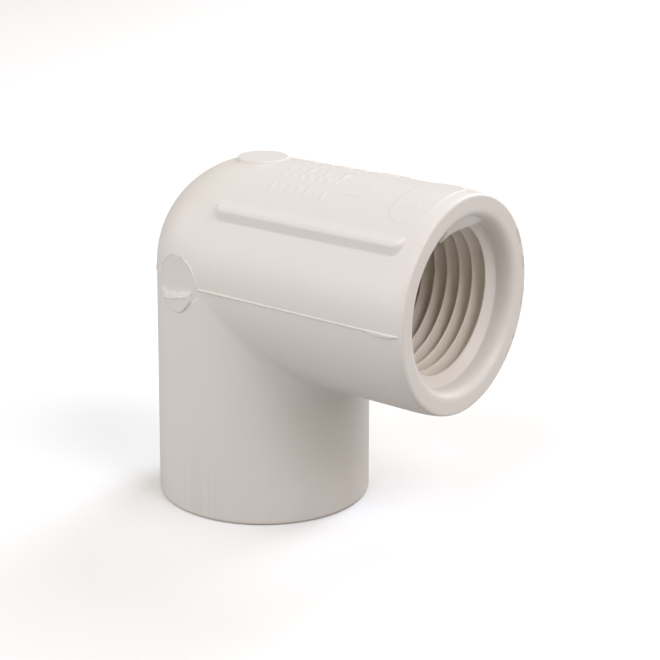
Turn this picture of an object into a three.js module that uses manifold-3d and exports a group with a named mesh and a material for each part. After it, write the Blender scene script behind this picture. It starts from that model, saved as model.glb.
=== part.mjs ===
// A half-inch PVC elbow for irrigation pipe: one injection-moulded piece that turns the
// water through 90 degrees, from a plain glue socket to a tapered female pipe thread.
//
// The socket opens downwards and the piece stands on the socket's rim. The threaded leg
// points along +X. The two legs' axes cross at the corner, which is a ball of the same
// radius as the legs. Lengths are in millimetres, +Z is up, and the origin is the middle
// of the bounding box on the ground plane.
import * as THREE from 'three';
import { mergeVertices } from 'three/addons/utils/BufferGeometryUtils.js';
import Module from 'manifold-3d';

const wasm = await Module();
wasm.setup();

// ---- driving dimensions -------------------------------------------------------------

const CENTRE_HEIGHT = 30.7;      // socket rim up to the threaded leg's axis
const CENTRE_REACH = 30.8;       // socket axis out to the threaded leg's rim
const CORNER_RADIUS = 13.6;      // both legs at the corner
const RIM_RADIUS = 13.85;        // socket leg at its rim, larger by the mould's draft
const RIM_ROUND = 0.5;           // rounding of that rim's outer edge
const NOSE_RADIUS = 13.65;       // threaded leg where it starts to ease in to its rim
const NOSE_LENGTH = 3.5;
const NOSE_DROP = 0.46;

const SOCKET_DEPTH = 18;         // how far the pipe goes in
const SOCKET_MOUTH_RADIUS = 10.77;
const SOCKET_END_RADIUS = 10.615;
const SOCKET_CHAMFER = 0.7;
const WATERWAY_RADIUS = 7.9;

const PITCH = 25.4 / 14;         // 14 threads to the inch
const RADIUS_PER_DEPTH = 1 / 32; // the thread tapers 1 in 16 on its diameter
const BELL_RADIUS = 11.85;       // where the flared mouth meets the rim's flat
const BELL_THROAT_RADIUS = 10.37;
const BELL_DEPTH = 2.43;
const BELL_SWEEP = 0.8;          // under 1, the bell's curve is fuller than an ellipse
const FRONT_END = 3.3;           // the first ridge's face slopes in from the throat to here
const CREST_RADIUS = 9.1;        // ridges of the thread, at the bell's throat
const ROOT_RADIUS = 10.62;       // bottom of the groove, at the bell's throat
const THREAD_DEPTH = 16.2;       // rim to the last of the thread
const THREAD_RUNOUT = 1;         // length of the slope down to the waterway behind it
const GROOVE_START = 3.22;       // depth at which the groove's middle begins
const GROOVE_BEARING = -170;     // and where, in degrees from +Y towards +Z
const GROOVE_TURNS = 6.75;
const GROOVE_OVERCUT = 0.4;      // how far the cutter reaches inside the crests
const CREST_FLAT = 0.14;
const ROOT_FLAT = 0.12;
const FLANK_ANGLE = 30;          // degrees between a ridge's side and square across
const TOOTH_DEPTH = 1.5;         // lead-in tooth at the top of the mouth, one turn ahead
const TOOTH_HEIGHT = 9.1;        // its straight edge lies this far over the leg's axis

const RIB_START = 0.8;           // distances from the socket's axis
const RIB_END = 28.5;
const RIB_SIDE = 11.05;          // its upright side, from the middle plane
const RIB_WIDTH = 2.5;
const RIB_HEIGHT = 9.75;         // its level top, over the leg's axis
const RIB_FOOT = 6.5;            // its underside, inside the wall
const RIB_EDGE = 0.3;

const PAD_RADIUS = 3.2;          // ejector pad on top of the corner
const PAD_TOP = CORNER_RADIUS + 0.1; // flat, so its edge stands 0.5 off the ball

const GATE_BEARING = -15;        // degrees from -Y towards +X
const GATE_RADIUS = 3.4;
const GATE_DROP = 0.2;           // its middle lies this far under the leg's axis
const GATE_PROUD = RIM_RADIUS - CORNER_RADIUS;
const GATE_CUT_TILT = 8;         // degrees that the trimming cut leans
const GATE_CUT_PROUD = 0.05;     // the cut's distance outside the corner, at the gate's middle
const GATE_CUT_RADIUS = 4.4;
const GATE_BAR_END = CORNER_RADIUS + 3;

const ROOT_IN_WALL = WATERWAY_RADIUS + 3; // outside features start here, inside the wall
const ROUND_STEPS = 60;          // facets round each leg
const CORNER_STEPS = ROUND_STEPS / 4; // facets over a quarter of the corner's ball
const BELL_STEPS = 5;
const EDGE_STEPS = 3;
const NOSE_STEPS = 4;
const ROUND_BAR_STEPS = 32;      // facets round the pad and the gate
const SKIN_STEPS = 48;           // facets round the skin that the gate's stub ends in
const RIB_EDGE_STEPS = 2;
const RIB_END_STEPS = 8;
const THREAD_STEPS = 36;         // facets round the threaded bore and each of its turns
const WATERWAY_CORNER_STEPS = 8;
const OVERRUN = 1;               // how far a cutter runs past the face that it opens
const WELD = 1e-5;               // points closer than this are one point

const PLASTIC_COLOUR = 0xdcd6d1;
const PLASTIC_ROUGHNESS = 0.42;

const QUARTER_TURN = Math.PI / 2;
const FULL_TURN = Math.PI * 2;
const radians = THREE.MathUtils.degToRad;
const point = (along, radius) => new THREE.Vector2(radius, along);

// ---- solids -------------------------------------------------------------------------

// Turns a closed three.js geometry into a solid, whichever way round its faces are wound.
function solid(geometry) {
  const bare = geometry.clone();
  bare.deleteAttribute('normal');
  bare.deleteAttribute('uv');
  const merged = mergeVertices(bare, WELD);
  const positions = merged.attributes.position;
  const corners = [new THREE.Vector3(), new THREE.Vector3(), new THREE.Vector3()];
  const triangles = [];
  let volume = 0;
  for (let i = 0; i < merged.index.count; i += 3) {
    const triangle = [0, 1, 2].map((k) => merged.index.getX(i + k));
    if (new Set(triangle).size < 3) continue;
    triangle.forEach((vertex, k) => corners[k].fromBufferAttribute(positions, vertex));
    volume += corners[0].dot(corners[1].clone().cross(corners[2]));
    triangles.push(triangle);
  }
  if (volume < 0) triangles.forEach((triangle) => triangle.reverse());
  return new wasm.Manifold(new wasm.Mesh({
    numProp: 3,
    vertProperties: new Float32Array(positions.array),
    triVerts: new Uint32Array(triangles.flat()),
  }));
}

function geometryOf(manifold) {
  const mesh = manifold.getMesh();
  const geometry = new THREE.BufferGeometry();
  geometry.setAttribute('position', new THREE.BufferAttribute(mesh.vertProperties, 3));
  geometry.setIndex(new THREE.BufferAttribute(mesh.triVerts, 1));
  geometry.computeVertexNormals();
  return geometry;
}

const bent = (value, sweep) => Math.sign(value) * Math.abs(value) ** sweep;

// Points of an elliptical arc in a lathe profile, from one angle to another. A sweep other
// than 1 makes it fuller or flatter than an ellipse.
function arc(along, radius, alongHalf, radiusHalf, from, to, steps, sweep = 1) {
  return Array.from({ length: steps + 1 }, (_, i) => {
    const angle = from + (to - from) * i / steps;
    return point(
      along + alongHalf * bent(Math.sin(angle), sweep),
      radius + radiusHalf * bent(Math.cos(angle), sweep),
    );
  });
}

// A profile turned about the socket's axis, with heights above the ground.
const turnedUpright = (profile) => solid(
  new THREE.LatheGeometry(profile, ROUND_STEPS).rotateX(QUARTER_TURN),
);

// A profile turned about the threaded leg's axis, with distances from the socket's axis.
const turnedAlong = (profile, steps) => solid(
  new THREE.LatheGeometry(profile, steps)
    .rotateY(QUARTER_TURN)
    .rotateZ(-QUARTER_TURN)
    .translate(0, 0, CENTRE_HEIGHT),
);

// ---- the outside --------------------------------------------------------------------

function socketLeg() {
  return turnedUpright([
    point(0, 0),
    ...arc(RIM_ROUND, RIM_RADIUS - RIM_ROUND, RIM_ROUND, RIM_ROUND, -QUARTER_TURN, 0, EDGE_STEPS),
    point(CENTRE_HEIGHT, CORNER_RADIUS),
    point(CENTRE_HEIGHT, 0),
  ]);
}

function threadedLegAndCorner() {
  const nose = CENTRE_REACH - NOSE_LENGTH;
  const rim = NOSE_RADIUS - NOSE_DROP;
  return turnedAlong([
    ...arc(0, 0, CORNER_RADIUS, CORNER_RADIUS, -QUARTER_TURN, 0, CORNER_STEPS),
    ...arc(nose, rim, NOSE_LENGTH, NOSE_DROP, 0, QUARTER_TURN, NOSE_STEPS),
    point(CENTRE_REACH, 0),
  ], ROUND_STEPS);
}

// A straight rib with round ends along the threaded leg. Its side is upright and its top is
// level, because the mould's halves part upwards and downwards.
function rib(side) {
  const end = RIB_WIDTH / 2 - RIB_EDGE;
  const middle = RIB_SIDE - RIB_WIDTH / 2;
  const outline = new THREE.Shape();
  outline.absarc(RIB_START + RIB_WIDTH / 2, side * middle, end, QUARTER_TURN, 3 * QUARTER_TURN);
  outline.absarc(RIB_END - RIB_WIDTH / 2, side * middle, end, -QUARTER_TURN, QUARTER_TURN);
  const bar = new THREE.ExtrudeGeometry(outline, {
    depth: RIB_HEIGHT - RIB_FOOT - RIB_EDGE,
    bevelThickness: RIB_EDGE,
    bevelSize: RIB_EDGE,
    bevelSegments: RIB_EDGE_STEPS,
    curveSegments: RIB_END_STEPS,
  });
  bar.translate(0, 0, CENTRE_HEIGHT + RIB_FOOT);
  return solid(bar);
}

function topPad() {
  const height = PAD_TOP - ROOT_IN_WALL;
  const pad = new THREE.CylinderGeometry(PAD_RADIUS, PAD_RADIUS, height, ROUND_BAR_STEPS);
  pad.rotateX(QUARTER_TURN);
  pad.translate(0, 0, CENTRE_HEIGHT + ROOT_IN_WALL + height / 2);
  return solid(pad);
}

// ---- the moulding gate's stub on the side of the corner ------------------------------

// A round bar that points outwards from the corner, with one end at a distance from it.
function gateBar(radius, from, to, tilt) {
  const bar = new THREE.CylinderGeometry(radius, radius, to - from, ROUND_BAR_STEPS);
  bar.translate(0, (from + to) / 2, 0);
  bar.rotateX(Math.PI - tilt);
  bar.translate(0, -CORNER_RADIUS * (1 - Math.cos(tilt)), 0);
  bar.rotateZ(radians(GATE_BEARING));
  bar.translate(0, 0, CENTRE_HEIGHT - GATE_DROP);
  return solid(bar);
}

// The stub ends in a skin that stands a little way off the corner's ball.
function gateStub() {
  const skin = new THREE.SphereGeometry(CORNER_RADIUS + GATE_PROUD, SKIN_STEPS, SKIN_STEPS / 2);
  skin.translate(0, 0, CENTRE_HEIGHT);
  const bar = gateBar(GATE_RADIUS, ROOT_IN_WALL, GATE_BAR_END, 0);
  return bar.intersect(solid(skin));
}

// What the trimming tool took off: everything outside a plane that leans into the corner.
function gateCut() {
  const start = CORNER_RADIUS + GATE_CUT_PROUD;
  return gateBar(GATE_CUT_RADIUS, start, GATE_BAR_END, radians(GATE_CUT_TILT));
}

// ---- the inside ---------------------------------------------------------------------

function socketBore() {
  return turnedUpright([
    point(-OVERRUN, 0),
    point(-OVERRUN, SOCKET_MOUTH_RADIUS + SOCKET_CHAMFER),
    point(0, SOCKET_MOUTH_RADIUS + SOCKET_CHAMFER),
    point(SOCKET_CHAMFER, SOCKET_MOUTH_RADIUS),
    point(SOCKET_DEPTH, SOCKET_END_RADIUS),
    point(SOCKET_DEPTH, WATERWAY_RADIUS),
    point(CENTRE_HEIGHT, WATERWAY_RADIUS),
    point(CENTRE_HEIGHT, 0),
  ]);
}

const threadRadius = (radius, depth) => radius - (depth - BELL_DEPTH) * RADIUS_PER_DEPTH;

function threadedBore() {
  const throat = CENTRE_REACH - BELL_DEPTH;
  const end = CENTRE_REACH - THREAD_DEPTH;
  const flare = BELL_RADIUS - BELL_THROAT_RADIUS;
  const bell = arc(
    throat, BELL_RADIUS, BELL_DEPTH, -flare, 0, QUARTER_TURN, BELL_STEPS, BELL_SWEEP,
  );
  const inner = WATERWAY_RADIUS;
  return turnedAlong([
    ...arc(0, 0, inner, inner, -QUARTER_TURN, 0, WATERWAY_CORNER_STEPS),
    point(end - THREAD_RUNOUT, WATERWAY_RADIUS),
    point(end, threadRadius(CREST_RADIUS, THREAD_DEPTH)),
    point(CENTRE_REACH - FRONT_END, threadRadius(CREST_RADIUS, FRONT_END)),
    ...bell,
    point(CENTRE_REACH + OVERRUN, BELL_RADIUS),
    point(CENTRE_REACH + OVERRUN, 0),
  ], THREAD_STEPS);
}

// The path of a right-hand thread that tapers as it goes deeper. Its frames keep a section
// upright in the plane through the leg's axis: x points out from the axis, y along it.
class ThreadPath extends THREE.Curve {
  angleAt(t) {
    return radians(GROOVE_BEARING) - t * GROOVE_TURNS * FULL_TURN;
  }

  outwardAt(t) {
    const angle = this.angleAt(t);
    return new THREE.Vector3(0, Math.cos(angle), Math.sin(angle));
  }

  getPoint(t) {
    const depth = GROOVE_START + t * GROOVE_TURNS * PITCH;
    const centre = new THREE.Vector3(CENTRE_REACH - depth, 0, CENTRE_HEIGHT);
    return centre.addScaledVector(this.outwardAt(t), threadRadius(ROOT_RADIUS, depth));
  }

  getPointAt(t) {
    return this.getPoint(t);
  }

  computeFrenetFrames(steps) {
    const frames = { tangents: [], normals: [], binormals: [] };
    for (let i = 0; i <= steps; i += 1) {
      const outward = this.outwardAt(i / steps);
      const along = new THREE.Vector3(1, 0, 0);
      frames.normals.push(outward);
      frames.binormals.push(along);
      frames.tangents.push(outward.clone().cross(along));
    }
    return frames;
  }
}

// The groove between the ridges: a blunt V as deep as the thread, with straight sides inside
// the bore so that neighbouring turns stay apart.
function threadGroove() {
  const height = ROOT_RADIUS - CREST_RADIUS;
  const wide = (PITCH - CREST_FLAT) / 2;
  const narrow = ROOT_FLAT / 2;
  const section = new THREE.Shape([
    new THREE.Vector2(0, -narrow),
    new THREE.Vector2(0, narrow),
    new THREE.Vector2(-height, wide),
    new THREE.Vector2(-height - GROOVE_OVERCUT, wide),
    new THREE.Vector2(-height - GROOVE_OVERCUT, -wide),
    new THREE.Vector2(-height, -wide),
  ]);
  return solid(new THREE.ExtrudeGeometry(section, {
    extrudePath: new ThreadPath(),
    steps: Math.round(GROOVE_TURNS * THREAD_STEPS),
  }));
}

// A piece of ridge left standing across the top of the mouth, where the threading core starts
// to turn. It is one pitch ahead of the first whole ridge, so that a male thread passes it.
function leadInTooth() {
  const rise = (BELL_RADIUS - TOOTH_HEIGHT) / 2 + OVERRUN;
  const spread = CREST_FLAT / 2 + rise * Math.tan(radians(FLANK_ANGLE));
  const section = new THREE.Shape([
    new THREE.Vector2(-CREST_FLAT / 2, 0),
    new THREE.Vector2(CREST_FLAT / 2, 0),
    new THREE.Vector2(spread, rise),
    new THREE.Vector2(-spread, rise),
  ]);
  const bar = new THREE.ExtrudeGeometry(section, {
    depth: 2 * BELL_THROAT_RADIUS,
    bevelEnabled: false,
  });
  bar.rotateX(QUARTER_TURN);
  bar.translate(
    CENTRE_REACH - TOOTH_DEPTH,
    BELL_THROAT_RADIUS,
    CENTRE_HEIGHT + TOOTH_HEIGHT,
  );
  return solid(bar);
}

// ---- the fitting --------------------------------------------------------------------

function elbowBody() {
  const outside = [rib(1), rib(-1), topPad(), gateStub(), socketLeg()];
  const mouth = threadedBore().subtract(leadInTooth());
  const cutters = [gateCut(), socketBore(), mouth, threadGroove()];
  const whole = outside.reduce((sum, piece) => sum.add(piece), threadedLegAndCorner());
  const cut = cutters.reduce((rest, cutter) => rest.subtract(cutter), whole);
  const plastic = new THREE.MeshStandardMaterial({
    color: PLASTIC_COLOUR,
    roughness: PLASTIC_ROUGHNESS,
    metalness: 0,
  });
  const mesh = new THREE.Mesh(geometryOf(cut), plastic);
  mesh.name = 'elbow_body';
  return mesh;
}

const group = new THREE.Group();
group.add(elbowBody());
group.position.x = -(CENTRE_REACH - RIM_RADIUS) / 2;

export default group;
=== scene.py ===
"""A half-inch PVC pipe elbow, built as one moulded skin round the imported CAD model.

The skin is the zero level of one function, shape(), which adds and cuts the moulding's
features with soft blends, so every edge has the small radius that a mould leaves. The
function is meshed by dual contouring, thinned, and shaded with its own gradient.
Lengths inside shape() are millimetres from where the socket's axis meets the ground.
"""
import math

import bpy
import numpy as np
from mathutils import Matrix, Vector


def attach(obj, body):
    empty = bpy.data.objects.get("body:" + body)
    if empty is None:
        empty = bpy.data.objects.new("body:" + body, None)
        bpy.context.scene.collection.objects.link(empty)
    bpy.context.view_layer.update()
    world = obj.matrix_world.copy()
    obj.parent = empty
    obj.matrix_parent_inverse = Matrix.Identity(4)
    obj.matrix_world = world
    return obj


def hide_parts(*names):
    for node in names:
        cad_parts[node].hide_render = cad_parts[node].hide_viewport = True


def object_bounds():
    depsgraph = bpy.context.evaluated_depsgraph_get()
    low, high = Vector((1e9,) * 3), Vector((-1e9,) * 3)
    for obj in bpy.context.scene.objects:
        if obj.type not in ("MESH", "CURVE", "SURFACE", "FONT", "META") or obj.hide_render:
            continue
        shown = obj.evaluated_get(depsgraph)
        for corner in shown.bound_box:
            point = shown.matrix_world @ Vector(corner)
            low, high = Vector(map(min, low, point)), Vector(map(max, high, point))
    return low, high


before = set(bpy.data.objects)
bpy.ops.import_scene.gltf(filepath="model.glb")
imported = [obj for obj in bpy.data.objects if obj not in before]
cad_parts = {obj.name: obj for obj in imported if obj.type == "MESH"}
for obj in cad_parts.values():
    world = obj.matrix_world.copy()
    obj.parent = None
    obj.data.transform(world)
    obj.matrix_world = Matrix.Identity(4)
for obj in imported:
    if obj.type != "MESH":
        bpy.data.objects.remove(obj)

cad_low, cad_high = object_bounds()
MM = 0.001

# ---- sizes, in millimetres; the outer ones come from the frame ------------------------

RIM_RADIUS = (cad_high.y - cad_low.y) / 2 / MM   # socket leg at its rim
CORNER_RADIUS = RIM_RADIUS - 0.25                # both legs at the corner
PAD_PROUD = 0.1                                  # ejector pad, over the corner
AXIS_X = cad_low.x / MM + RIM_RADIUS             # where the socket's axis stands in the frame
REACH = cad_high.x / MM - AXIS_X                 # socket axis to the threaded rim
HEIGHT = cad_high.z / MM - CORNER_RADIUS - PAD_PROUD   # ground to the threaded leg's axis
CROTCH_BLEND = 3.0
RIM_ROUND = 0.5

NOSE_GAIN = 0.05                                 # the threaded leg widens this much, then
NOSE_LENGTH, NOSE_DROP = 3.5, 0.46               # eases in over its last stretch to the rim
NOSE_ROUND = 0.25

SOCKET_DEPTH = 18.0
SOCKET_MOUTH = 10.77
SOCKET_END = 10.615
SOCKET_CHAMFER = 0.7
WATERWAY = 7.9

BELL_RADIUS, BELL_THROAT, BELL_DEPTH = 11.85, 10.37, 2.43
BELL_POWER = 2.5                                 # over 2, fuller than an ellipse
PITCH = 25.4 / 14
TAPER = 1 / 32
CREST, ROOT = 9.1, 10.62                         # radii of the thread at the bell's throat
FLANK = math.sqrt(3)                             # radius gained per depth on a 60 degree thread
FRONT_SLOPE = 1.49                               # the first ridge's face, before the helix
GROOVE_START = 3.22                              # depth of the first groove where it begins
GROOVE_CLOCK = math.radians(260)                 # and where, clockwise from the top
GROOVE_FADE = 1 / 6                              # of a turn, over which it deepens
GROOVE_LEAD, GROOVE_HALF = 0.75, 0.06            # cut off this far ahead, and half of its flat
THREAD_END = 16.2
TOOTH_DEPTH, TOOTH_HEIGHT = 1.5, 9.1             # lead-in tooth across the top of the mouth
TOOTH_END, TOOTH_FRONT = -3.7, 0.25              # where it stops on the near side, and by the rim
LAND_HALF = 0.07                                 # half of a ridge's flat

RIB_START, RIB_END = 0.8, 28.5
RIB_SIDE, RIB_WIDTH = 11.05, 2.5
RIB_TOP, RIB_FALL = 9.6, 0.246                   # height of its outer edge, and its top's slope
RIB_FOOT = 6.5                                   # its underside, inside the wall
RIB_ROUND = 0.6

PAD_RADIUS, PAD_ROUND = 3.2, 0.2

GATE_BEARING = math.radians(-14.5)               # round the corner, from the -Y side
GATE_UP, GATE_RADIUS = -0.98, 3.18
GATE_OUT, GATE_FACE = 13.74, RIM_RADIUS - 0.04   # how far its flat end stands out, and along -Y
GATE_ROUND, GATE_UNEVEN = 0.25, 0.06
FACET_OUT, FACET_LEAN = 13.07, 0.06              # where the side cutter's slice runs
FACET_DROP = FACET_OUT * FACET_LEAN              # middle and radius of its round outline
FACET_RADIUS = math.sqrt(CORNER_RADIUS ** 2 - FACET_OUT ** 2 + FACET_DROP ** 2)
FACET_TURN = 0.9                                 # how gently the slice turns out
LEDGE_UP, LEDGE_TILT = -2.2, 0.25                # where it ends
LEDGE_TORN = 0.09
LEDGE_HALF = 2.5                                 # of the lip that stands on the ledge
LEDGE_RIGHT, LEDGE_DROP = 2.75, 0.9              # past this far right it ends lower,
LEDGE_LEFT, LEDGE_RISE = -2.3, 0.6               # and past this far left, higher
LIP_RADIUS, LIP_SUNK = 0.14, 0.05
BURR_START, BURR_END = 0.7, -0.6                 # on the facet's right side: across, and up

PARTING = HEIGHT - 0.44                          # height of the mould's parting line
FLASH_TALL, FLASH_HALF = 0.1, 0.05               # fin along it
FLASH_STOP = 0.6                                 # how far it stays from the threaded rim
FLASH_BUMP, FLASH_MIDDLE, FLASH_REACH = 0.08, 4, 4   # it is taller near the gate
SLIVER_START, SLIVER_END = 26.0, 30.0            # its thick stretch
SLIVER_TALL, SLIVER_HALF, SLIVER_DROP = 0.16, 0.13, 0.08

LINE_RADIUS = 13.05                              # hairline in the rim's lower half
LINE_HALF = 0.09

MARK_TALL = 0.07                                 # relief on top of the threaded leg
BAR_HALF = 0.24                                  # of every bar's width
PLAQUE_AT, PLAQUE_HALF = (26.5, -2.6), (2.6, 6.0)    # along the leg, and round it
DOT_RADIUS, DOT_PITCH = 0.9, 3
BARS_AT, BAR_COLUMNS, BAR_ROWS = (6.4, -6.4), 7, 6
BAR_PITCH = (1.3, 2.3)
BAR_KINDS = ((0.95, 0.0), (0.4, 0.3), (0.7, -0.2), (0.3, 0.1))   # half of its length, and shift
STROKES_AT, STROKES, STROKE_PITCH, STROKE_TILT = (17.6, -5.4), 6, 1.9, 0.12

SKIN_BLENDS = {"ribs": 0.06, "pad": 0.2, "gate": 0.12, "flash": 0.16, "slice": 0.06, "burrs": 0.08}
PASSAGE_BLEND = 0.4                              # of the socket's space with the corner's
MOUTH_ROUND = 0.12                               # where the spaces come out through the skin


# ---- blending ---------------------------------------------------------------------------

def soft_min(a, b, k):
    h = np.maximum(k - np.abs(a - b), 0) / k
    return np.minimum(a, b) - h * h * (k / 4)


def soft_max(a, b, k):
    return -soft_min(-a, -b, k)


def ripple(*waves):
    """A fixed, uneven wobble between about -1 and 1, made from a few waves."""
    return sum(np.sin(w + 1.3 * i) for i, w in enumerate(waves)) / len(waves)


# ---- the moulding -------------------------------------------------------------------------

def legs_and_corner(x, y, z):
    """Two tapering legs that end in one ball, with a soft fillet in the inner corner."""
    v = z - HEIGHT
    run = np.clip(x, 0, REACH)
    rise = np.clip(v, -HEIGHT, 0)
    gain = RIM_RADIUS - CORNER_RADIUS
    back, over = np.minimum(x, 0), np.maximum(v, 0)
    to_run = np.sqrt(back * back + y * y + v * v) + 1e-9
    to_rise = np.sqrt(x * x + y * y + over * over) + 1e-9
    ease = np.clip((run - REACH + NOSE_LENGTH) / NOSE_LENGTH, 0, 0.995)
    nose = NOSE_DROP * (1 - np.sqrt(1 - ease * ease))
    run_leg = to_run - CORNER_RADIUS - NOSE_GAIN * run / REACH + nose
    rise_leg = to_rise - CORNER_RADIUS + gain * rise / HEIGHT
    alike = (back * x + y * y + v * over) / (to_run * to_rise)
    fillet = CROTCH_BLEND * np.clip(1 - alike, 0.001, 1)
    return soft_min(run_leg, rise_leg, fillet)


def ribs(x, y, z):
    """A round-ended rib on each side, upright outside and nearly level on top."""
    v = z - HEIGHT
    half = RIB_WIDTH / 2
    middle = (RIB_START + RIB_END) / 2
    beyond = np.maximum(np.abs(x - middle) - (RIB_END - RIB_START) / 2 + half, 0)
    side = np.hypot(np.abs(y) - RIB_SIDE + half, beyond) - half
    top = (v - RIB_TOP + RIB_FALL * (np.abs(y) - RIB_SIDE)) / math.hypot(1, RIB_FALL)
    return np.maximum(soft_max(side, top, RIB_ROUND), RIB_FOOT - v)


def top_pad(x, y, z):
    side = np.hypot(x, y) - PAD_RADIUS
    return soft_max(side, z - HEIGHT - CORNER_RADIUS - PAD_PROUD, PAD_ROUND)


def gate_frame(x, y, z):
    """Distances round, out of and up the corner from the gate's middle."""
    c, s = math.cos(GATE_BEARING), math.sin(GATE_BEARING)
    return x * c + y * s, x * s - y * c, z - HEIGHT


def gate_stub(x, y, z):
    """What is left of the runner: a low round step with a flat end."""
    across, out, up = gate_frame(x, y, z)
    uneven = GATE_UNEVEN * ripple(2.3 * across, 3.1 * up)
    side = np.hypot(across, up - GATE_UP) - GATE_RADIUS - uneven
    end = np.maximum(out - GATE_OUT, -y - GATE_FACE)
    return np.maximum(soft_max(side, end, GATE_ROUND), -out)


def ledge_of(across):
    """Height at which the slice turns out: torn, and lower beyond the stub's right side."""
    torn = LEDGE_TORN * ripple(3.1 * across, 7.3 * across)
    right = np.clip((across - LEDGE_RIGHT) / 0.3, 0, 1)
    left = np.clip((LEDGE_LEFT - across) / 1.3, 0, 1)
    return LEDGE_UP + LEDGE_TILT * across + torn - LEDGE_DROP * right + LEDGE_RISE * left


def gate_cut(x, y, z):
    """The side cutter's slice: a flat facet that turns out at a torn ledge."""
    across, out, up = gate_frame(x, y, z)
    facet = FACET_OUT + FACET_LEAN * up
    return soft_max(facet - out, ledge_of(across) - up, FACET_TURN)


def gate_burrs(x, y, z):
    """Thin lips that the cutter pushed up along the facet's right side and its ledge."""
    across, out, up = gate_frame(x, y, z)
    ball = np.sqrt(across * across + out * out + up * up)
    beside = np.hypot(across, up + FACET_DROP) - FACET_RADIUS
    full = np.clip((across - BURR_START) / 0.8, 0, 1) * np.clip((up - BURR_END) / 0.4, 0, 1)
    edge = np.hypot(beside - 0.05, ball - CORNER_RADIUS) - 0.15 * full + 0.04
    end = np.maximum(out - GATE_OUT, -y - GATE_FACE)
    lip = np.hypot(up - ledge_of(across) + 0.13, end + LIP_SUNK) - LIP_RADIUS
    lip = soft_max(lip, np.abs(across) - LEDGE_HALF, 0.4)
    return np.maximum(np.minimum(edge, lip), -out)


def flash(x, y, z, skin):
    """A fin where the mould's halves met, with one thicker sliver near the rim."""
    v = z - PARTING
    sliver = np.clip(np.minimum(x - SLIVER_START, SLIVER_END - x) / 0.8, 0, 1) * (y < 0)
    near_gate = np.exp(-((x - FLASH_MIDDLE) / FLASH_REACH) ** 2)
    wobble = ripple(1.9 * x, 0.83 * x + y, 4.7 * x)
    tall = FLASH_TALL + 0.04 * wobble + FLASH_BUMP * near_gate + SLIVER_TALL * sliver
    half = FLASH_HALF + 0.02 * near_gate + (SLIVER_HALF + 0.05 * wobble) * sliver
    fin = soft_max(np.abs(v + SLIVER_DROP * sliver) - half, skin - tall, 0.04)
    return np.maximum(fin, x - REACH + FLASH_STOP)


def bar(along, around, half_along, half_around):
    """Flat distance to a bar with round ends, in a plane unrolled from the leg."""
    radius = min(half_along, half_around)
    a = np.maximum(np.abs(along) - half_along + radius, 0)
    b = np.maximum(np.abs(around) - half_around + radius, 0)
    return np.hypot(a, b) - radius


def raised(distance, tall, ease=0.3):
    """How proud a sign stands, with a sloped side as wide as ease."""
    return tall * np.clip(0.5 - distance / ease, 0, 1)


def marks(x, y, z):
    """Plain raised signs on top of the threaded leg, in place of a maker's: how proud."""
    around = CORNER_RADIUS * np.arctan2(y, z - HEIGHT)
    plaque_x, plaque_around = x - PLAQUE_AT[0], around - PLAQUE_AT[1]
    relief = raised(bar(plaque_x, plaque_around, *PLAQUE_HALF), MARK_TALL, 0.35)
    for step in (-DOT_PITCH, 0, DOT_PITCH):
        dot = np.hypot(plaque_x, plaque_around - step) - DOT_RADIUS
        relief = relief + raised(dot, 0.8 * MARK_TALL, 0.4)
    for column in range(BAR_COLUMNS):
        for row in range(BAR_ROWS):
            half, shift = BAR_KINDS[(3 * column + 5 * row + column * row) % len(BAR_KINDS)]
            bar_x = x - BARS_AT[0] - BAR_PITCH[0] * column
            bar_around = around - BARS_AT[1] - BAR_PITCH[1] * row - shift
            relief = relief + raised(bar(bar_x, bar_around, BAR_HALF, half), MARK_TALL)
    for row in range(STROKES):
        stroke_x = x - STROKES_AT[0]
        stroke_around = around - STROKES_AT[1] - STROKE_PITCH * row - STROKE_TILT * stroke_x
        stroke = bar(stroke_x, stroke_around, 1.5 + 0.5 * (row % 2), BAR_HALF)
        relief = relief + raised(stroke, MARK_TALL)
    return relief * (1 + np.clip((around - 1) / 2, 0, 1))


def socket_space(x, y, z):
    """Everything that is open below the corner."""
    wide = SOCKET_MOUTH - (SOCKET_MOUTH - SOCKET_END) * z / SOCKET_DEPTH
    r = np.hypot(x, y)
    socket = soft_max(r - wide, z - SOCKET_DEPTH, 0.3)
    chamfer = (r + z - SOCKET_MOUTH - SOCKET_CHAMFER) * 0.707
    waterway = np.maximum(r - WATERWAY, z - HEIGHT)
    return np.minimum(soft_min(socket, chamfer, 0.2), waterway)


def bell_space(r, depth):
    """The flared mouth, whose wall is a superellipse from the throat to the rim's flat."""
    flare = BELL_RADIUS - BELL_THROAT
    a = np.maximum((BELL_RADIUS - r) / flare, 0)
    b = np.maximum(1 - depth / BELL_DEPTH, 0)
    level = (a ** BELL_POWER + b ** BELL_POWER + 1e-12) ** (1 / BELL_POWER) - 1
    scale = (flare * a * a + BELL_DEPTH * b * b + 1e-9) / (a * a + b * b + 1e-9)
    return -level * scale


def groove_space(r, depth, clock):
    """The right-hand thread's V, which starts at one clock bearing and deepens into it."""
    turned = np.mod((clock - GROOVE_CLOCK) / 2 / math.pi, 1)
    along = depth - GROOVE_START - PITCH * turned
    turn = np.maximum(np.round(along / PITCH), 0)
    fade = np.clip(1 - turned / GROOVE_FADE, 0, 1) * (turn == 0)
    root = ROOT - (depth - BELL_DEPTH) * TAPER - (ROOT - CREST) * fade * fade * (3 - 2 * fade)
    wall = root - np.maximum(np.abs(along - turn * PITCH) - GROOVE_HALF, 0) * FLANK
    return (r - wall) / math.hypot(1, FLANK)


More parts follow.
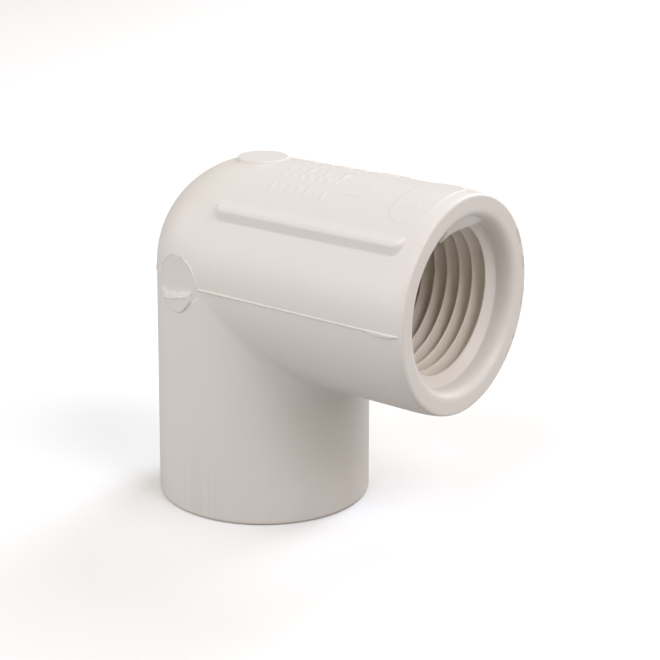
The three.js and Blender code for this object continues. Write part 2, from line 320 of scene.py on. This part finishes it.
def thread_space(x, y, z):
    v = z - HEIGHT
    r = np.hypot(y, v)
    depth = REACH - x
    crest = r - CREST + (depth - BELL_DEPTH) * TAPER
    front = (r - BELL_THROAT + (depth - BELL_DEPTH) * FRONT_SLOPE) / math.hypot(1, FRONT_SLOPE)
    bore = soft_max(bell_space(r, depth), soft_min(crest, front, 0.1), 0.06)
    groove = groove_space(r, depth, np.arctan2(y, v))
    groove = np.maximum(groove, np.maximum(GROOVE_START - GROOVE_LEAD - depth, r - ROOT))
    space = soft_max(soft_min(bore, groove, 0.12), depth - THREAD_END, 0.5)
    level = np.where(y < 0, r * np.sign(v), v)
    tooth = (np.abs(depth - TOOTH_DEPTH) - LAND_HALF - (level - TOOTH_HEIGHT) / FLANK) * FLANK / 2
    tooth = np.maximum(tooth, TOOTH_HEIGHT - level)
    tooth = np.maximum(tooth, np.maximum(TOOTH_END - y, TOOTH_FRONT - depth))
    return soft_max(space, -tooth, 0.1)


def corner_space(x, y, z):
    v = z - HEIGHT
    back = np.minimum(x, 0)
    r = np.sqrt(back * back + y * y + v * v)
    return np.maximum(r - WATERWAY, x - REACH + THREAD_END - 1)


def shape(p):
    """Signed distance to the moulding's skin: negative inside the plastic."""
    x, y, z = p[..., 0], p[..., 1], p[..., 2]
    skin = legs_and_corner(x, y, z)
    body = soft_min(skin - marks(x, y, z) * (z > HEIGHT), ribs(x, y, z), SKIN_BLENDS["ribs"])
    body = soft_min(body, top_pad(x, y, z), SKIN_BLENDS["pad"])
    body = soft_min(body, gate_stub(x, y, z), SKIN_BLENDS["gate"])
    body = soft_min(body, flash(x, y, z, skin), SKIN_BLENDS["flash"])
    body = soft_max(body, -gate_cut(x, y, z), SKIN_BLENDS["slice"])
    body = soft_min(body, gate_burrs(x, y, z), SKIN_BLENDS["burrs"])
    outside = np.maximum(np.abs(y) - RIM_RADIUS, z - HEIGHT - CORNER_RADIUS - PAD_PROUD)
    body = np.maximum(body, outside)
    body = soft_max(body, x - REACH, NOSE_ROUND)
    body = soft_max(body, -z, RIM_ROUND)
    space = soft_min(socket_space(x, y, z), corner_space(x, y, z), PASSAGE_BLEND)
    space = np.minimum(space, thread_space(x, y, z))
    return soft_max(body, -space, MOUTH_ROUND)


def slope_of(p, step=0.01):
    """Direction in which shape() grows, as unit vectors."""
    g = np.empty_like(p)
    for axis in range(3):
        shift = np.zeros(3)
        shift[axis] = step
        g[:, axis] = shape(p + shift) - shape(p - shift)
    return g / np.maximum(np.linalg.norm(g, axis=1, keepdims=True), 1e-12)


# ---- meshing ------------------------------------------------------------------------------

BLOCK = 8                                        # cells along one side of a block
PLAIN_CELL, FINE_CELL, FINEST_CELL = 0.26, 0.15, 0.07
MOST_TRIANGLES = 194_000
ROOT_STEPS = 3                                   # towards the skin along each crossed edge
FLAT_HOLD = 0.03                                 # keeps a flat cell's vertex near its crossings
PROBE_SHARE, PROBE_MOST = 0.25, 0.08             # how far inside a face shade() looks


def ticks(*stretches):
    """Grid planes along one axis, from (start, end, step) stretches laid end to end."""
    rows = [np.arange(round((b - a) / step)) * ((b - a) / round((b - a) / step)) + a
            for a, b, step in stretches]
    line = np.concatenate([*rows, [stretches[-1][1]]])
    extra = -(len(line) - 1) % BLOCK
    return np.concatenate([line, line[-1] + (line[-1] - line[-2]) * np.arange(1, extra + 1)])


def sample(axes):
    """shape() on the grid's points, left at a rough value wherever a block is off the skin."""
    counts = [(len(a) - 1) // BLOCK for a in axes]
    corners = []
    for k in (0, BLOCK):
        ends = [a[k::BLOCK][:n] for a, n in zip(axes, counts)]
        corners.append(np.stack(np.meshgrid(*ends, indexing="ij"), -1))
    middle, half = (corners[0] + corners[1]) / 2, np.linalg.norm(corners[1] - corners[0], axis=-1) / 2
    rough = shape(middle)
    field = np.repeat(np.repeat(np.repeat(rough, BLOCK, 0), BLOCK, 1), BLOCK, 2)
    field = np.pad(field, ((0, 1),) * 3, mode="edge").astype(np.float32)
    near = np.argwhere(np.abs(rough) < half * 1.3 + 0.3)
    steps = np.arange(BLOCK + 1)
    for part in np.array_split(near, max(1, len(near) // 400)):
        i, j, k = (part[:, n, None] * BLOCK + steps for n in range(3))
        i, j, k = i[:, :, None, None], j[:, None, :, None], k[:, None, None, :]
        p = np.stack(np.broadcast_arrays(axes[0][i], axes[1][j], axes[2][k]), -1)
        field[i, j, k] = shape(p)
    return field


def crossings(field, axes, axis):
    """Grid edges along one axis that pass through the skin: their starts, points and signs."""
    ahead = np.moveaxis(field, axis, 0)
    cross = (ahead[:-1] < 0) != (ahead[1:] < 0)
    index = np.argwhere(np.moveaxis(cross, 0, axis))
    step = np.eye(3, dtype=int)[axis]
    start = np.stack([a[index[:, n]] for n, a in enumerate(axes)], -1)
    end = np.stack([a[index[:, n] + step[n]] for n, a in enumerate(axes)], -1)
    fa = field[tuple(index.T)].astype(float)
    fb = field[tuple((index + step).T)].astype(float)
    low, high = start.copy(), end.copy()
    for _ in range(ROOT_STEPS):
        t = (fa / (fa - fb))[:, None]
        point = low + (high - low) * np.clip(t, 0.05, 0.95)
        value = shape(point)
        same = (value < 0) == (fa < 0)
        low, fa = np.where(same[:, None], point, low), np.where(same, value, fa)
        high, fb = np.where(same[:, None], high, point), np.where(same, fb, value)
    point = low + (high - low) * (fa / (fa - fb))[:, None]
    return index, point, field[tuple(index.T)] < 0


def contour(axes):
    """Dual contouring: one vertex per crossed cell, one face per crossed edge."""
    field = sample(axes)
    shape3 = tuple(len(a) - 1 for a in axes)
    rows, points, faces = [], [], []
    for axis in range(3):
        index, point, inside = crossings(field, axes, axis)
        u, v = np.eye(3, dtype=int)[(axis + 1) % 3], np.eye(3, dtype=int)[(axis + 2) % 3]
        ring = np.stack([index - u - v, index - v, index, index - u], 1)
        ring = np.where(inside[:, None, None], ring, ring[:, ::-1])
        cells = np.ravel_multi_index(tuple(np.moveaxis(ring, -1, 0)), shape3)
        faces.append(cells)
        rows.append(cells)
        points.append(point)
    rows, points = np.concatenate(rows), np.concatenate(points)
    normals = slope_of(points)
    used, slot = np.unique(rows.ravel(), return_inverse=True)
    slot = slot.reshape(rows.shape)
    total = len(used)
    ata, atb = np.zeros((total, 3, 3)), np.zeros((total, 3))
    count = np.bincount(slot.ravel(), minlength=total)
    middle = np.stack([np.bincount(slot.ravel(), np.repeat(points[:, n], 4), total) for n in range(3)], 1)
    middle /= count[:, None]
    reach = np.einsum("ni,ni->n", normals, points)
    for a in range(3):
        atb[:, a] = np.bincount(slot.ravel(), np.repeat(normals[:, a] * reach, 4), total)
        for b in range(3):
            ata[:, a, b] = np.bincount(slot.ravel(), np.repeat(normals[:, a] * normals[:, b], 4), total)
    hold = FLAT_HOLD * np.eye(3)
    offset = np.linalg.solve(ata + hold, (atb - np.einsum("nab,nb->na", ata, middle))[..., None])[..., 0]
    cell = np.stack(np.unravel_index(used, shape3), 1)
    low = np.stack([a[cell[:, n]] for n, a in enumerate(axes)], 1)
    high = np.stack([a[cell[:, n] + 1] for n, a in enumerate(axes)], 1)
    return np.clip(middle + offset, low, high), slot


def mesh_from(name, points, faces):
    mesh = bpy.data.meshes.new(name)
    mesh.vertices.add(len(points))
    mesh.vertices.foreach_set("co", points.astype(np.float32).ravel())
    mesh.loops.add(faces.size)
    mesh.loops.foreach_set("vertex_index", faces.astype(np.int32).ravel())
    mesh.polygons.add(len(faces))
    mesh.polygons.foreach_set("loop_start", np.arange(len(faces), dtype=np.int32) * faces.shape[1])
    mesh.update(calc_edges=True)
    mesh.validate()
    return mesh


def thinned(mesh, most):
    """The same mesh with its flattest parts merged until it has at most so many triangles."""
    holder = bpy.data.objects.new("thinning", mesh)
    bpy.context.scene.collection.objects.link(holder)
    thin = holder.modifiers.new("thin", "DECIMATE")
    thin.ratio = min(1.0, most / (2 * len(mesh.polygons)))
    thin.use_collapse_triangulate = True
    cut = holder.modifiers.new("triangles", "TRIANGULATE")
    cut.quad_method = "SHORTEST_DIAGONAL"
    result = bpy.data.meshes.new_from_object(holder.evaluated_get(bpy.context.evaluated_depsgraph_get()))
    bpy.data.objects.remove(holder)
    return result


def shade(mesh):
    """Gives each face corner the skin's own direction a little way inside the face."""
    count = len(mesh.polygons)
    points = np.empty(len(mesh.vertices) * 3)
    mesh.vertices.foreach_get("co", points)
    corners = np.empty(count * 3, dtype=np.int32)
    mesh.loops.foreach_get("vertex_index", corners)
    tri = points.reshape(-1, 3)[corners].reshape(count, 3, 3)
    inward = tri.mean(1, keepdims=True) - tri
    length = np.linalg.norm(inward, axis=2, keepdims=True)
    probe = tri + inward * np.minimum(PROBE_SHARE, PROBE_MOST / np.maximum(length, 1e-9))
    normals = slope_of(probe.reshape(-1, 3))
    mesh.normals_split_custom_set(normals)


def make_moulding():
    """The piece: a grid round the skin, finer by the gate, marks, ribs, mouth and parting line."""
    coarser = 1.0
    plain, fine, finest = PLAIN_CELL * coarser, FINE_CELL * coarser, FINEST_CELL * coarser
    middling = plain * 0.8
    axes = (
        ticks((-14.6, -8.4, plain), (-8.4, 5, fine), (5, 13, middling), (13, REACH + 0.7, fine)),
        ticks((-14.8, -9.2, fine), (-9.2, 9.2, middling), (9.2, 14.8, plain)),
        ticks((-0.8, HEIGHT - 5.8, plain), (HEIGHT - 5.8, HEIGHT - 4.4, fine),
              (HEIGHT - 4.4, PARTING - 0.35, fine), (PARTING - 0.35, PARTING + 0.35, finest),
              (PARTING + 0.35, HEIGHT + 3.8, fine), (HEIGHT + 3.8, HEIGHT + 7.4, middling),
              (HEIGHT + 7.4, HEIGHT + 14.8, fine)),
    )
    points, faces = contour(axes)
    mesh = mesh_from("elbow_moulding", points, faces)
    mesh = thinned(mesh, MOST_TRIANGLES)
    shade(mesh)
    stand = np.array([AXIS_X, 0, 0])
    co = np.empty(len(mesh.vertices) * 3)
    mesh.vertices.foreach_get("co", co)
    mesh.vertices.foreach_set("co", ((co.reshape(-1, 3) + stand) * MM).ravel())
    mesh.update()
    piece = bpy.data.objects.new("elbow_moulding", mesh)
    bpy.context.scene.collection.objects.link(piece)
    return piece


# ---- materials ------------------------------------------------------------------------------

class Wiring:
    """Short calls for adding nodes to one material."""

    def __init__(self, material):
        self.nodes, self.links = material.node_tree.nodes, material.node_tree.links

    def node(self, kind, inputs, **settings):
        node = self.nodes.new(kind)
        for key, value in settings.items():
            setattr(node, key, value)
        for key, value in inputs.items():
            if isinstance(value, bpy.types.NodeSocket):
                self.links.new(value, node.inputs[key])
            else:
                node.inputs[key].default_value = value
        return node

    def math(self, operation, *values):
        inputs = dict(enumerate(values))
        return self.node("ShaderNodeMath", inputs, operation=operation).outputs[0]

    def length(self, a, b):
        """Length of the hypotenuse over a and b."""
        return self.math("SQRT", self.math("ADD", self.math("MULTIPLY", a, a), self.math("MULTIPLY", b, b)))

    def noise(self, place, scale, detail=2.0):
        inputs = {"Vector": place, "Scale": scale, "Detail": detail}
        return self.node("ShaderNodeTexNoise", inputs).outputs["Fac"]

    def ramp(self, value, low, high):
        """0 at low and below, 1 at high and above, or the other way round."""
        inputs = {"Value": value, "From Min": low, "From Max": high}
        return self.node("ShaderNodeMapRange", inputs).outputs["Result"]

    def mix(self, amount, first, second):
        node = self.node("ShaderNodeMix", {"Factor": amount}, data_type="RGBA")
        for socket, value in ((node.inputs[6], first), (node.inputs[7], second)):
            if isinstance(value, bpy.types.NodeSocket):
                self.links.new(value, socket)
            else:
                socket.default_value = value
        return node.outputs[2]


PVC = (0.80, 0.755, 0.715, 1)
PVC_COOL = (0.795, 0.76, 0.725, 1)               # faint patches where the melt flowed apart
PVC_BORE_BOUNCE_AND_DIRT = (0.825, 0.77, 0.70, 1)                # warmer down the thread: painted warm bounce light, with some dirt
PVC_DIRT_AND_SHADE = (0.62, 0.57, 0.52, 1)                 # handling dirt on the rim, and painted shade for the rim's hairline and the gate facet's outline
PVC_DARK = (0.23, 0.19, 0.16, 1)                 # specks burnt into the melt
PATCH_SCALE, SCUFF_SCALE, SPECK_SCALE = 120, 420, 110.0      # of the colour's patterns
ROUGH_SCALE, GRAIN_SCALE, WAVE_SCALE = 900, 2500, 260        # and of the surface's
SCUFF_SHARE, SPECK_SHARE, LINE_SHARE, OUTLINE_SHARE = 0.8, 0.75, 0.45, 0.7
ROUGHNESS, ROUGHNESS_SPREAD = 0.36, 0.1
WAVE_SHARE, LINE_CUT = 1.6, 4.0                  # of the bump's height, against the grain's 1
BUMP_STRENGTH, BUMP_DISTANCE = 0.12, 0.00012


def white_pvc():
    """Satin moulded PVC: flow patches, grain, specks, a scuffed rim and a warmer bore of painted bounce
    light and dirt.

    A hairline marks the rim's lower half with a groove bump and painted shade, and a line of painted shade
    the outline of the gate's facet.
    """
    material = bpy.data.materials.new("white_pvc")
    material.use_nodes = True
    w = Wiring(material)
    shader = w.nodes["Principled BSDF"]
    place = w.node("ShaderNodeTexCoord", {}).outputs["Object"]
    axes = w.node("ShaderNodeSeparateXYZ", {0: place}).outputs
    patches = w.ramp(w.noise(place, PATCH_SCALE), 0.4, 0.6)
    colour = w.mix(patches, PVC, PVC_COOL)

    along = w.math("SUBTRACT", axes["X"], (AXIS_X + REACH) * MM)
    over = w.math("SUBTRACT", axes["Z"], HEIGHT * MM)
    radius = w.length(axes["Y"], over)
    at_rim = w.ramp(along, -1.1 * MM, -0.5 * MM)

    scuffed = w.ramp(w.noise(place, SCUFF_SCALE, 4), 0.5, 0.56)
    far_edge = w.math("MULTIPLY", w.ramp(radius, 12.55 * MM, 12.8 * MM), w.ramp(axes["Y"], 9 * MM, 11 * MM))
    scuff = w.math("MULTIPLY", w.math("MULTIPLY", scuffed, far_edge), at_rim)
    colour = w.mix(w.math("MULTIPLY", scuff, SCUFF_SHARE), colour, PVC_DIRT_AND_SHADE)

    cells = w.node("ShaderNodeTexVoronoi", {"Vector": place, "Scale": SPECK_SCALE})
    tint = w.node("ShaderNodeSeparateColor", {0: cells.outputs["Color"]}).outputs
    spot = w.math("MULTIPLY", w.ramp(cells.outputs["Distance"], 0.022, 0.012), w.ramp(tint[0], 0.80, 0.81))
    colour = w.mix(w.math("MULTIPLY", spot, SPECK_SHARE), colour, PVC_DARK)

    # painted shade of the hairline crease, dark only on the rim's lower near quarter; its groove itself is
    # a bump
    off_line = w.math("ABSOLUTE", w.math("SUBTRACT", radius, LINE_RADIUS * MM))
    line = w.math("MULTIPLY", w.ramp(off_line, LINE_HALF * MM, 0.3 * LINE_HALF * MM), at_rim)
    lower = w.math("MULTIPLY", w.ramp(over, 0.1 * MM, -0.1 * MM), w.ramp(axes["Y"], -6.2 * MM, -7.6 * MM))
    line = w.math("MULTIPLY", line, lower)
    colour = w.mix(w.math("MULTIPLY", line, LINE_SHARE), colour, PVC_DIRT_AND_SHADE)
    # painted warm bounce light, with some dirt, inside the threaded bore
    bore = w.math("MULTIPLY", w.ramp(along, -3.0 * MM, -4.5 * MM), w.ramp(along, -16.6 * MM, -16.2 * MM))
    bore = w.math("MULTIPLY", bore, w.ramp(radius, 11.2 * MM, 10.9 * MM))
    colour = w.mix(bore, colour, PVC_BORE_BOUNCE_AND_DIRT)

    # painted shade: a dark line along the gate facet's outline, where its small edge walls fall in shade
    beside = w.math("SUBTRACT", axes["X"], AXIS_X * MM)
    lean = math.cos(GATE_BEARING), math.sin(GATE_BEARING)
    out = w.math("SUBTRACT", w.math("MULTIPLY", beside, lean[1]), w.math("MULTIPLY", axes["Y"], lean[0]))
    across = w.math("ADD", w.math("MULTIPLY", beside, lean[0]), w.math("MULTIPLY", axes["Y"], lean[1]))
    off_ring = w.length(across, w.math("ADD", over, FACET_DROP * MM))
    off_ring = w.math("ABSOLUTE", w.math("SUBTRACT", off_ring, (FACET_RADIUS - 0.08) * MM))
    outline = w.math("MULTIPLY", w.ramp(off_ring, 0.12 * MM, 0.04 * MM), w.ramp(out, 5 * MM, 6 * MM))
    outline = w.math("MULTIPLY", outline, w.ramp(over, -0.7 * MM, -0.3 * MM))
    outline = w.math("MULTIPLY", outline, w.ramp(w.math("ABSOLUTE", across), 0.4 * MM, 1.2 * MM))
    colour = w.mix(w.math("MULTIPLY", outline, OUTLINE_SHARE), colour, PVC_DIRT_AND_SHADE)
    w.links.new(colour, shader.inputs["Base Color"])

    rough = w.ramp(w.noise(place, ROUGH_SCALE, 3), 0.2, 0.8)
    w.links.new(w.math("MULTIPLY_ADD", rough, ROUGHNESS_SPREAD, ROUGHNESS), shader.inputs["Roughness"])
    grain = w.noise(place, GRAIN_SCALE, 3)
    waves = w.noise(place, WAVE_SCALE, 2)
    height = w.math("ADD", grain, w.math("MULTIPLY", waves, WAVE_SHARE))
    height = w.math("SUBTRACT", height, w.math("MULTIPLY", line, LINE_CUT))
    inputs = {"Strength": BUMP_STRENGTH, "Distance": BUMP_DISTANCE, "Height": height}
    bump = w.node("ShaderNodeBump", inputs)
    w.links.new(bump.outputs["Normal"], shader.inputs["Normal"])
    return material


# ---- stage ------------------------------------------------------------------------------

def diffuse_paint(name, white):
    paint = bpy.data.materials.new(name)
    paint.use_nodes = True
    shader = paint.node_tree.nodes["Principled BSDF"]
    shader.inputs["Base Color"].default_value = (white, white, white, 1)
    shader.inputs["Roughness"].default_value = 1
    shader.inputs["Specular IOR Level"].default_value = 0
    return paint


def flat_sheet(name, half, z, paint):
    mesh = bpy.data.meshes.new(name)
    corners = [(-half, -half, z), (half, -half, z), (half, half, z), (-half, half, z)]
    mesh.from_pydata(corners, [], [(0, 1, 2, 3)])
    mesh.materials.append(paint)
    sheet = bpy.data.objects.new(name, mesh)
    bpy.context.scene.collection.objects.link(sheet)
    return sheet


FLOOR_WHITE, FLOOR_GREY = 0.97, 0.4
FLOOR_HALF, BOUNCE_HALF, BOUNCE_SUNK = 20, 3, 0.00002    # metres


def make_floor():
    """A white floor to look at, and a greyer one under it that throws its light back."""
    seen = flat_sheet("floor", FLOOR_HALF, 0, diffuse_paint("floor_white", FLOOR_WHITE))
    seen.visible_diffuse = seen.visible_glossy = False
    seen.visible_transmission = seen.visible_shadow = False
    grey = diffuse_paint("floor_grey", FLOOR_GREY)
    bounce = flat_sheet("floor_bounce", BOUNCE_HALF, -BOUNCE_SUNK, grey)
    bounce.visible_camera = False


# The camera, in degrees and millimetres.
AZIMUTH, ELEVATION, ROLL = (math.radians(v) for v in (36.85, 18.54, 0.43))
CAMERA_DISTANCE = 225.4
CAMERA_AIM = (9.8 + AXIS_X, 0, 19.6)
CAMERA_ASIDE, CAMERA_RAISED = 0.72, 3.61         # in its own plane, so the aim isn't centred
FOCAL_LENGTH, SENSOR_WIDTH = 97.02, 36


def make_camera():
    level = math.cos(ELEVATION)
    back = Vector((math.sin(AZIMUTH) * level, -math.cos(AZIMUTH) * level, math.sin(ELEVATION)))
    right = Vector((math.cos(AZIMUTH), math.sin(AZIMUTH), 0))
    up = back.cross(right)
    side = right * math.cos(ROLL) + up * math.sin(ROLL)
    top = up * math.cos(ROLL) - right * math.sin(ROLL)
    data = bpy.data.cameras.new("camera")
    data.sensor_width = SENSOR_WIDTH
    data.lens = FOCAL_LENGTH
    data.clip_start, data.clip_end = 0.01, 20
    camera = bpy.data.objects.new("camera", data)
    bpy.context.scene.collection.objects.link(camera)
    place = Vector(CAMERA_AIM) + back * CAMERA_DISTANCE + side * CAMERA_ASIDE + top * CAMERA_RAISED
    turn = Matrix((side, top, back)).transposed()
    camera.matrix_world = Matrix.Translation(place * MM) @ turn.to_4x4()
    bpy.context.scene.camera = camera


LIGHT_DISTANCE, LIGHT_SIZE = 0.8, 0.45           # metres
LIGHT_CENTRE = Vector((0, 0, 0.03))
COOL, PLAIN = (0.88, 1.02, 1.22), (1.0, 0.97, 1.04)
LIGHTS = (                                       # name, direction from the object, watts, colour
    ("top", (0, 0, 1), 0.6, COOL),
    ("top_front", (0.1, -0.8, 0.8), 1.4, COOL),
    ("top_right", (0.8, -0.1, 0.8), 2.2, PLAIN),
    ("top_back", (0, 0.8, 0.8), 1.6, COOL),
    ("left", (-1, -0.3, 0.3), 0.9, PLAIN),
    ("front_left", (-0.5, -1, 0.35), 1.5, PLAIN),
    ("right", (1, 0.3, 0.35), 0.9, PLAIN),
    ("back", (0, 1, 0.35), 2.3, PLAIN),
)
FILL = 0.27
FILL_COLOUR = (1.2, 1.0, 0.62, 1)


def area_light(name, place, power, colour):
    data = bpy.data.lights.new(name, "AREA")
    data.shape = "DISK"
    data.size = LIGHT_SIZE
    data.energy = power
    data.color = colour
    light = bpy.data.objects.new(name, data)
    bpy.context.scene.collection.objects.link(light)
    light.location = place
    light.rotation_euler = (LIGHT_CENTRE - place).to_track_quat("-Z", "Y").to_euler()


def make_lights():
    """Soft lamps all round, a dim fill, and a white backdrop that only the camera sees."""
    world = bpy.data.worlds.new("studio")
    bpy.context.scene.world = world
    world.use_nodes = True
    nodes, links = world.node_tree.nodes, world.node_tree.links
    nodes["Background"].inputs["Strength"].default_value = FILL
    backdrop = nodes.new("ShaderNodeBackground")
    backdrop.inputs["Color"].default_value = (1, 1, 1, 1)
    nodes["Background"].inputs["Color"].default_value = FILL_COLOUR
    ray = nodes.new("ShaderNodeLightPath")
    mix = nodes.new("ShaderNodeMixShader")
    links.new(ray.outputs["Is Camera Ray"], mix.inputs[0])
    links.new(nodes["Background"].outputs[0], mix.inputs[1])
    links.new(backdrop.outputs[0], mix.inputs[2])
    links.new(mix.outputs[0], nodes["World Output"].inputs["Surface"])
    for name, way, watts, colour in LIGHTS:
        area_light(name, LIGHT_CENTRE + Vector(way).normalized() * LIGHT_DISTANCE, watts, colour)
    bpy.context.scene.view_settings.view_transform = "Standard"


make_camera()
make_lights()
make_floor()
moulding = make_moulding()
moulding.data.materials.append(white_pvc())
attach(moulding, "root")
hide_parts("elbow_body")
